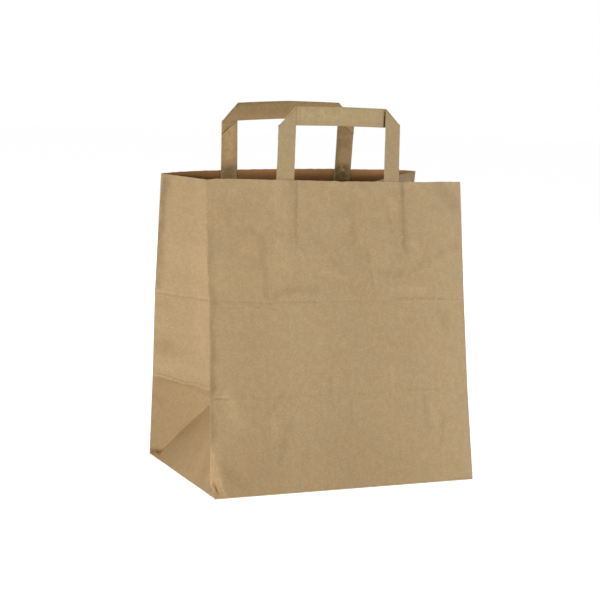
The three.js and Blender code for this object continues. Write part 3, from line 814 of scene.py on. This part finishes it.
def build_handle(name, bend, width, centre, offsets, materials, seed, leg_uv, strip_uv, gap):
    """Two legs, the strip across them on their inner side, and the ends of the strip's last ply.

    leg_uv and strip_uv are their places in flat paper coordinates, and gap is how far the strip
    stands off the right leg.
    """
    plies = Plies()
    place = settled(centre, width, **offsets)
    strip_bottom = HANDLE_RISE - STRIP_WIDTH
    us = spaced([0, 1], 0.012, 0.09)
    edge_band = lambda u: fall(np.minimum(u, 1 - u) * STRIP_WIDTH, 0.9)
    mid = LEG_DEPTH + STRIP_PLY / 2

    def add(x, h, low, high, uv, edge):
        px, ph = place(x, h)
        plies.slab(bend(px, ph, low), bend(px, ph, high), np.stack(uv, -1), edge)

    for side in (-1, 1):
        vs = np.concatenate([np.linspace(-LEG_TUCK, 0, 24), np.linspace(0, strip_bottom, 22)[1:]])
        vs = np.insert(vs, -1, (strip_bottom - 1.5, strip_bottom - 0.6))
        u, h = grid(us, vs)
        # The last rows slant up to the fold, which runs at 45 degrees
        straight = vs[-10]
        folded = np.clip((h - straight) / (strip_bottom - straight), 0, 1)
        x = centre + side * (width / 2 - u * STRIP_WIDTH)
        height = h + folded * u * STRIP_WIDTH
        half = rounded(u, STRIP_WIDTH, STRIP_PLY)
        wave = smooth(height, 2, 20) * 0.35 * noise(x, height, 20, seed + side)
        # The leg's top is painted darker at its fold: painted shade in the fold
        fold = np.clip((h - strip_bottom + 1.5) / 0.9, 0, 1)
        add(x, height, mid + wave - half, mid + wave + half, [x + leg_uv, height],
            edge_band(u) * (1 - fold) + 2.2 * fold)
        # The strip's last ply ends on the leg, cut at 45 degrees
        u, t = grid(us, np.linspace(0, 1, 8))
        x = centre + side * (width / 2 - u * STRIP_WIDTH)
        height = strip_bottom + 1.5 - t * (1.2 + (1 - u) * (TAIL_DROP + 0.3))
        on_leg = mid + STRIP_PLY / 2 - PLY_BITE
        shadow = 7 * np.clip((t - 0.84) / 0.16, 0, 1) * (side < 0)
        add(x, height, on_leg, on_leg + 0.42, [height + strip_uv, x], shadow)
    ws = np.concatenate([[0, 0.009, 0.016], np.linspace(0.023, 0.5, 30), np.linspace(0.5, 0.977, 44)[1:],
                         [0.984, 0.991, 1]])
    w, v = grid(ws, us)
    half_width = width / 2 - v * STRIP_WIDTH
    x = centre + (2 * w - 1) * half_width
    h = strip_bottom + v * STRIP_WIDTH
    half = rounded(v, STRIP_WIDTH, STRIP_PLY)
    mid = LEG_DEPTH + STRIP_PLY - PLY_BITE + STRIP_PLY / 2
    inner = width / 2 - STRIP_WIDTH
    wave = 0.45 * noise(x, h, 20, seed + 7) * smooth(inner - np.abs(x - centre), 0, 15)
    c = x - centre
    wave = wave + gap * smooth(c, inner - 8, inner - 1) * smooth(c, inner + 14, inner + 3)
    # The strip is painted darker at both ends, where it folds into the legs: painted shade in the folds
    fold = np.clip(2.3 - np.minimum(w, 1 - w) / 0.007, 0, 1)
    add(x, h, mid + wave - half, mid + wave + half, [h + strip_uv, x],
        edge_band(v) * (1 - fold) + 4 * fold)
    return plies.build(name, materials)


def build_patch(name, bend, width, centre, materials, seed):
    plies = Plies()
    on_wall = WALL_PLY / 2 + SEAT_GAP
    over_leg = LEG_DEPTH + STRIP_PLY + SEAT_GAP
    outer, inner = width / 2, width / 2 - STRIP_WIDTH
    xs = spaced([-PATCH_WIDTH / 2, -outer, -inner, inner, outer, PATCH_WIDTH / 2], 0.6, 5) + centre
    x, h = grid(xs, np.linspace(-PATCH_BOTTOM, -PATCH_TOP, 14))
    r = np.abs(x - centre)
    outside = np.maximum(np.maximum(r - outer - SEAT_GAP, inner - SEAT_GAP - r), 0)
    depth = over_leg + (on_wall - over_leg) * smooth(outside, 0, PATCH_RAMP)
    near = bend(x, h, depth)
    far = bend(x, h, depth + 0.25 + 0.1 * (1 + noise(x, h, 20, seed)))
    plies.slab(near, far, np.stack([x + PATCH_U, h], -1))
    return plies.build(name, materials)


# Materials

def srgb(r, g, b):
    f = lambda c: c / 12.92 if c <= 0.04045 else ((c + 0.055) / 1.055) ** 2.4
    return tuple(f(c / 255) for c in (r, g, b)) + (1,)


def tint(colour, *factors):
    """The colour times one factor, or times one each for red, green and blue."""
    factors = factors * 3 if len(factors) == 1 else factors
    return tuple(c * f for c, f in zip(colour[:3], factors)) + (1,)


class Nodes:
    """A short way to write the nodes of a material or of the world."""

    def __init__(self, owner):
        self.owner = owner
        owner.use_nodes = True
        self.tree = owner.node_tree
        self.tree.nodes.clear()

    def add(self, kind, inputs=None, **settings):
        node = self.tree.nodes.new(kind)
        for key, value in settings.items():
            setattr(node, key, value)
        for key, value in (inputs or {}).items():
            if isinstance(value, bpy.types.NodeSocket):
                self.tree.links.new(value, node.inputs[key])
            else:
                node.inputs[key].default_value = value
        return node

    def math(self, operation, a, b=0.0, c=0.0):
        return self.add("ShaderNodeMath", {0: a, 1: b, 2: c}, operation=operation).outputs[0]

    def vector(self, operation, *values, output="Vector", **named):
        inputs = {**dict(enumerate(values)), **named}
        return self.add("ShaderNodeVectorMath", inputs, operation=operation).outputs[output]

    def mix(self, share, a, b):
        return self.add("ShaderNodeMix", {0: share, 6: a, 7: b}, data_type="RGBA").outputs[2]

    def part_mix(self, share, most, a, b):
        """From a to b by share, but at most as far as most."""
        return self.mix(self.math("MULTIPLY", share, most), a, b)

    def seen(self):
        """1 where the camera or a reflection looks straight at the surface."""
        path = self.add("ShaderNodeLightPath")
        return self.math("MAXIMUM", path.outputs["Is Camera Ray"], path.outputs["Is Glossy Ray"])

    def ramp(self, value, low, high):
        return self.add("ShaderNodeMapRange", {"Value": value, "From Min": low, "From Max": high},
                        interpolation_type="SMOOTHSTEP").outputs[0]

    def stroke(self, point, x0, y0, x1, y1, width):
        """1 on a line, fading out over its width and at both ends."""
        length = math.dist((x0, y0), (x1, y1))
        dx, dy = (x1 - x0) / length, (y1 - y0) / length
        taper = min(length / 3, 6)

        def dot(x, y):
            return self.vector("DOT_PRODUCT", point, (x, y, 0), output="Value")

        along = self.math("SUBTRACT", dot(dx, dy), x0 * dx + y0 * dy)
        across = self.math("ABSOLUTE", self.math("SUBTRACT", dot(dy, -dx), x0 * dy - y0 * dx))
        ends = self.math("MULTIPLY", self.ramp(along, 0, taper), self.ramp(along, length, length - taper))
        return self.math("MULTIPLY", self.ramp(across, width, 0), ends)

    def strokes(self, point, lines, total=0.0):
        """The sum of the lines' strokes, each times its own tone."""
        for *line, tone in lines:
            total = self.math("MULTIPLY_ADD", self.stroke(point, *line), tone, total)
        return total

    def noise(self, vector, scale, detail=2.0, stretch=None):
        if stretch:
            vector = self.add("ShaderNodeMapping", {"Vector": vector, "Scale": stretch}).outputs[0]
        return self.add("ShaderNodeTexNoise", {"Vector": vector, "Scale": scale, "Detail": detail},
                        noise_dimensions="3D").outputs["Fac"]


def kraft(name, colour, warm=None, grey=None, fleck=0.5, lines=(), gusset_lines=(), edge=0,
          wander_by=2.2, shaded=False):
    """Brown kraft paper: fibres, flecks and slow mottling over one colour, with lines of painted light
    and shade, partly also wear.

    edge is how much lighter or darker the paper is where the mesh's own edge value is 1, and a
    shaded paper is also multiplied by the mesh's shade.
    """
    n = Nodes(bpy.data.materials.new(name))
    uv = n.add("ShaderNodeUVMap", uv_map="paper").outputs[0]
    warm = warm or tint(colour, 1.03, 1.0, 0.96)
    grey = grey or tint(colour, 0.97, 0.99, 1.03)
    slow = n.noise(uv, 34, 3.0)
    base = n.mix(n.ramp(slow, 0.3, 0.7), grey, warm)
    cloud = n.noise(uv, 110, 3.0)
    base = n.part_mix(n.ramp(cloud, 0.3, 0.7), 0.5, base, tint(colour, 0.88))
    spots = n.noise(uv, 215, 2.0, (1, 0.7, 1))
    base = n.part_mix(n.ramp(spots, 0.36, 0.64), 0.75, base, tint(colour, 0.89, 0.87, 0.87))
    speck = n.noise(uv, 560, 3.0)
    light = n.math("MULTIPLY", n.ramp(speck, 0.52, 0.66), fleck * 0.85)
    dark = n.math("MULTIPLY", n.ramp(speck, 0.48, 0.34), fleck * 0.85)
    base = n.mix(light, base, tint(colour, 1.2))
    base = n.mix(dark, base, tint(colour, 0.8))
    fibre = n.noise(uv, 1.0, 2.0, (1100, 170, 1))
    base = n.part_mix(n.ramp(fibre, 0.62, 0.4), 0.22, base, tint(colour, 0.86))
    if lines or edge:
        # The lines waver a little, in millimetres of the paper
        wander = n.add("ShaderNodeTexNoise", {"Vector": uv, "Scale": 90, "Detail": 2.0}).outputs["Color"]
        wander = n.vector("SUBTRACT", wander, (0.5, 0.5, 0.5))
        point = n.vector("SCALE", uv, Scale=1 / MM)
        point = n.vector("MULTIPLY_ADD", wander, (wander_by, wander_by, 0), point)
        total = n.strokes(point, lines)
        if gusset_lines:
            mirrored = n.vector("MULTIPLY", n.vector("ABSOLUTE", point), (-1, 1, 1))
            total = n.strokes(mirrored, gusset_lines, total)
        if edge:
            rim = n.add("ShaderNodeAttribute", attribute_name="edge").outputs["Fac"]
            total = n.math("MULTIPLY_ADD", rim, edge, total)
        # They are broken up by the paper's own grain
        broken = n.ramp(n.noise(uv, 240, 2.0), 0.2, 0.55)
        total = n.math("MAXIMUM", n.math("MULTIPLY", total, broken), -0.8)
        # Darker lines turn warmer and lighter ones cooler, as painted shade and highlight
        factors = n.vector("MULTIPLY_ADD", total, (0.93, 1.0, 1.12), (1, 1, 1))
        base = n.vector("MULTIPLY", base, factors)
    if shaded:
        shade = n.add("ShaderNodeAttribute", attribute_name="shade").outputs["Color"]
        base = n.vector("MULTIPLY", base, shade)
    height = n.math("ADD", n.math("MULTIPLY", speck, 0.5), n.math("MULTIPLY", fibre, 0.5))
    rough_grain = n.math("ADD", height, n.math("MULTIPLY", cloud, 0.8))
    bump = n.add("ShaderNodeBump", {"Height": rough_grain, "Strength": 0.35, "Distance": 0.00012})
    shader = n.add("ShaderNodeBsdfPrincipled", {
        "Base Color": base, "Roughness": 0.86, "Specular IOR Level": 0.25,
        "Normal": bump.outputs[0]})
    n.add("ShaderNodeOutputMaterial", {"Surface": shader.outputs[0]})
    return n.owner


# The studio

def add_camera():
    """The photograph's view: 25 degrees to the left, 8.1 degrees down, tilted by 2.4 degrees."""
    azimuth, pitch, roll = (math.radians(a) for a in (25.0, 8.08, 2.42))
    distance, focal_px, aim_right, aim_up = 1481, 1580.5, -14.9, 19.0
    forward = np.array([math.sin(azimuth) * math.cos(pitch), math.cos(azimuth) * math.cos(pitch),
                        -math.sin(pitch)])
    level = np.array([math.cos(azimuth), -math.sin(azimuth), 0])
    up = np.cross(level, forward)
    right_axis = math.cos(roll) * level + math.sin(roll) * up
    up_axis = -math.sin(roll) * level + math.cos(roll) * up
    target = np.array([0, 0, BAG_HEIGHT / 2]) + level * aim_right + up * aim_up
    place = (target - forward * distance) * MM
    data = bpy.data.cameras.new("camera")
    data.sensor_width = 36
    data.lens = 36 * focal_px / 600
    camera = bpy.data.objects.new("camera", data)
    bpy.context.scene.collection.objects.link(camera)
    camera.matrix_world = Matrix([
        [right_axis[0], up_axis[0], -forward[0], place[0]],
        [right_axis[1], up_axis[1], -forward[1], place[1]],
        [right_axis[2], up_axis[2], -forward[2], place[2]],
        [0, 0, 0, 1]])
    bpy.context.scene.camera = camera


# Soft lamps: name, degrees to the left of the front, degrees up, distance, width and height in
# metres, watts
LAMPS = (
    ("left_lamp", 84, 3, 2.0, 0.8, 0.5, 12.6),
    ("key_lamp", 44, 4.2, 2.0, 0.5, 0.2, 16.0),
    ("front_lamp", -18, 3.9, 1.4, 0.35, 0.22, 3.0),
    ("right_lamp", -60, 4, 2.0, 1.0, 0.4, 12.0),
    ("back_lamp", 168, 12, 2.2, 1.0, 0.7, 19.0),
    ("back_right_lamp", -112, 10, 2.2, 1.0, 0.7, 14.0),
)
AIM = (0, 0, 0.2)
# Strengths of the white world as light, and of the floor's own white as the camera sees it
DOME, FLOOR_LIFT = 0.14, 0.88


def add_lamp(name, left, up, distance, width, height, power):
    data = bpy.data.lights.new(name, "AREA")
    data.shape = "RECTANGLE"
    data.size, data.size_y = width, height
    data.energy = power
    lamp = bpy.data.objects.new(name, data)
    bpy.context.scene.collection.objects.link(lamp)
    left, up = math.radians(left), math.radians(up)
    toward = Vector((-math.sin(left) * math.cos(up), -math.cos(left) * math.cos(up), math.sin(up)))
    lamp.location = Vector(AIM) + toward * distance
    lamp.rotation_euler = toward.to_track_quat("Z", "Y").to_euler()
    lamp.visible_camera = False


def add_studio():
    add_camera()
    for lamp in LAMPS:
        add_lamp(*lamp)
    n = Nodes(bpy.data.worlds.new("studio"))
    bpy.context.scene.world = n.owner
    dome = n.add("ShaderNodeBackground", {"Color": (1, 1, 1, 1), "Strength": DOME})
    white = n.add("ShaderNodeBackground", {"Color": (1, 1, 1, 1), "Strength": 1.0})
    mix = n.add("ShaderNodeMixShader", {0: n.seen(), 1: dome.outputs[0], 2: white.outputs[0]})
    n.add("ShaderNodeOutputWorld", {"Surface": mix.outputs[0]})

    # A pale floor, whose own shadow is kept and which is lifted to white for the camera
    n = Nodes(bpy.data.materials.new("floor_white"))
    paint = n.add("ShaderNodeBsdfDiffuse", {"Color": (0.8, 0.8, 0.8, 1)})
    glow = n.add("ShaderNodeEmission", {"Color": (1, 1, 1, 1),
                                        "Strength": n.math("MULTIPLY", n.seen(), FLOOR_LIFT)})
    both = n.add("ShaderNodeAddShader", {0: paint.outputs[0], 1: glow.outputs[0]})
    n.add("ShaderNodeOutputMaterial", {"Surface": both.outputs[0]})
    bpy.ops.mesh.primitive_plane_add(size=16, location=(0, 0, 0))
    floor = bpy.context.object
    floor.name = "studio_floor"
    floor.data.materials.append(n.owner)
    bpy.context.scene.view_settings.view_transform = "Standard"


def main():
    add_studio()
    outer = kraft("kraft_outside", srgb(190, 164, 124), lines=LINES, gusset_lines=GUSSET_LINES,
                  shaded=True)
    # The inside is a darker, redder copy of the paper: painted shade and light bounced about inside the
    # bag
    inner = kraft("kraft_inside", srgb(181, 134, 85), warm=srgb(194, 138, 78), grey=srgb(168, 129, 86),
                  shaded=True)
    cut = kraft("kraft_cut_edge", srgb(206, 184, 146), fleck=0.3)
    # Both handles' paper is darker along the folded edges, with painted shade at the folds and a painted
    # shadow under the cut end of the last ply on the left leg
    strip = kraft("kraft_strip", srgb(181, 158, 118), lines=STRIP_LINES, edge=-0.08, wander_by=0.2)
    # The back handle's paper is a darker, browner copy of the strip's: painted shade, as it stands in the
    # front handle's shadow
    shaded_back_strip = kraft("kraft_back_strip", srgb(178, 149, 105), lines=BACK_STRIP_LINES, edge=-0.09,
                       wander_by=0.8)

    body = build_body([outer, inner, cut])
    front_at = (guide(front_point, 1, FRONT_HANDLE_LEAN), FRONT_HANDLE_WIDTH, FRONT_HANDLE_CENTRE)
    back_at = (guide(back_point, -1, BACK_HANDLE_LEAN), BACK_HANDLE_WIDTH, BACK_HANDLE_CENTRE)
    front = build_handle("front_handle_paper", *front_at, FRONT_SETTLED, [strip, cut], 70,
                         FRONT_LEG_U, FRONT_STRIP_U, gap=1.0)
    back = build_handle("back_handle_paper", *back_at, BACK_SETTLED, [shaded_back_strip, cut], 80,
                        BACK_LEG_U, BACK_STRIP_U, gap=0)
    front_patch = build_patch("front_patch_paper", *front_at, [strip, cut], 90)
    back_patch = build_patch("back_patch_paper", *back_at, [shaded_back_strip, cut], 95)
    for piece, node, slot in ((body, "bag_body", "body_kraft"),
                              (front, "front_handle", "handle_kraft"),
                              (back, "back_handle", "handle_kraft"),
                              (front_patch, "front_handle_patch", "patch_kraft"),
                              (back_patch, "back_handle_patch", "patch_kraft")):
        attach(piece, "root")
        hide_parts(node)


main()
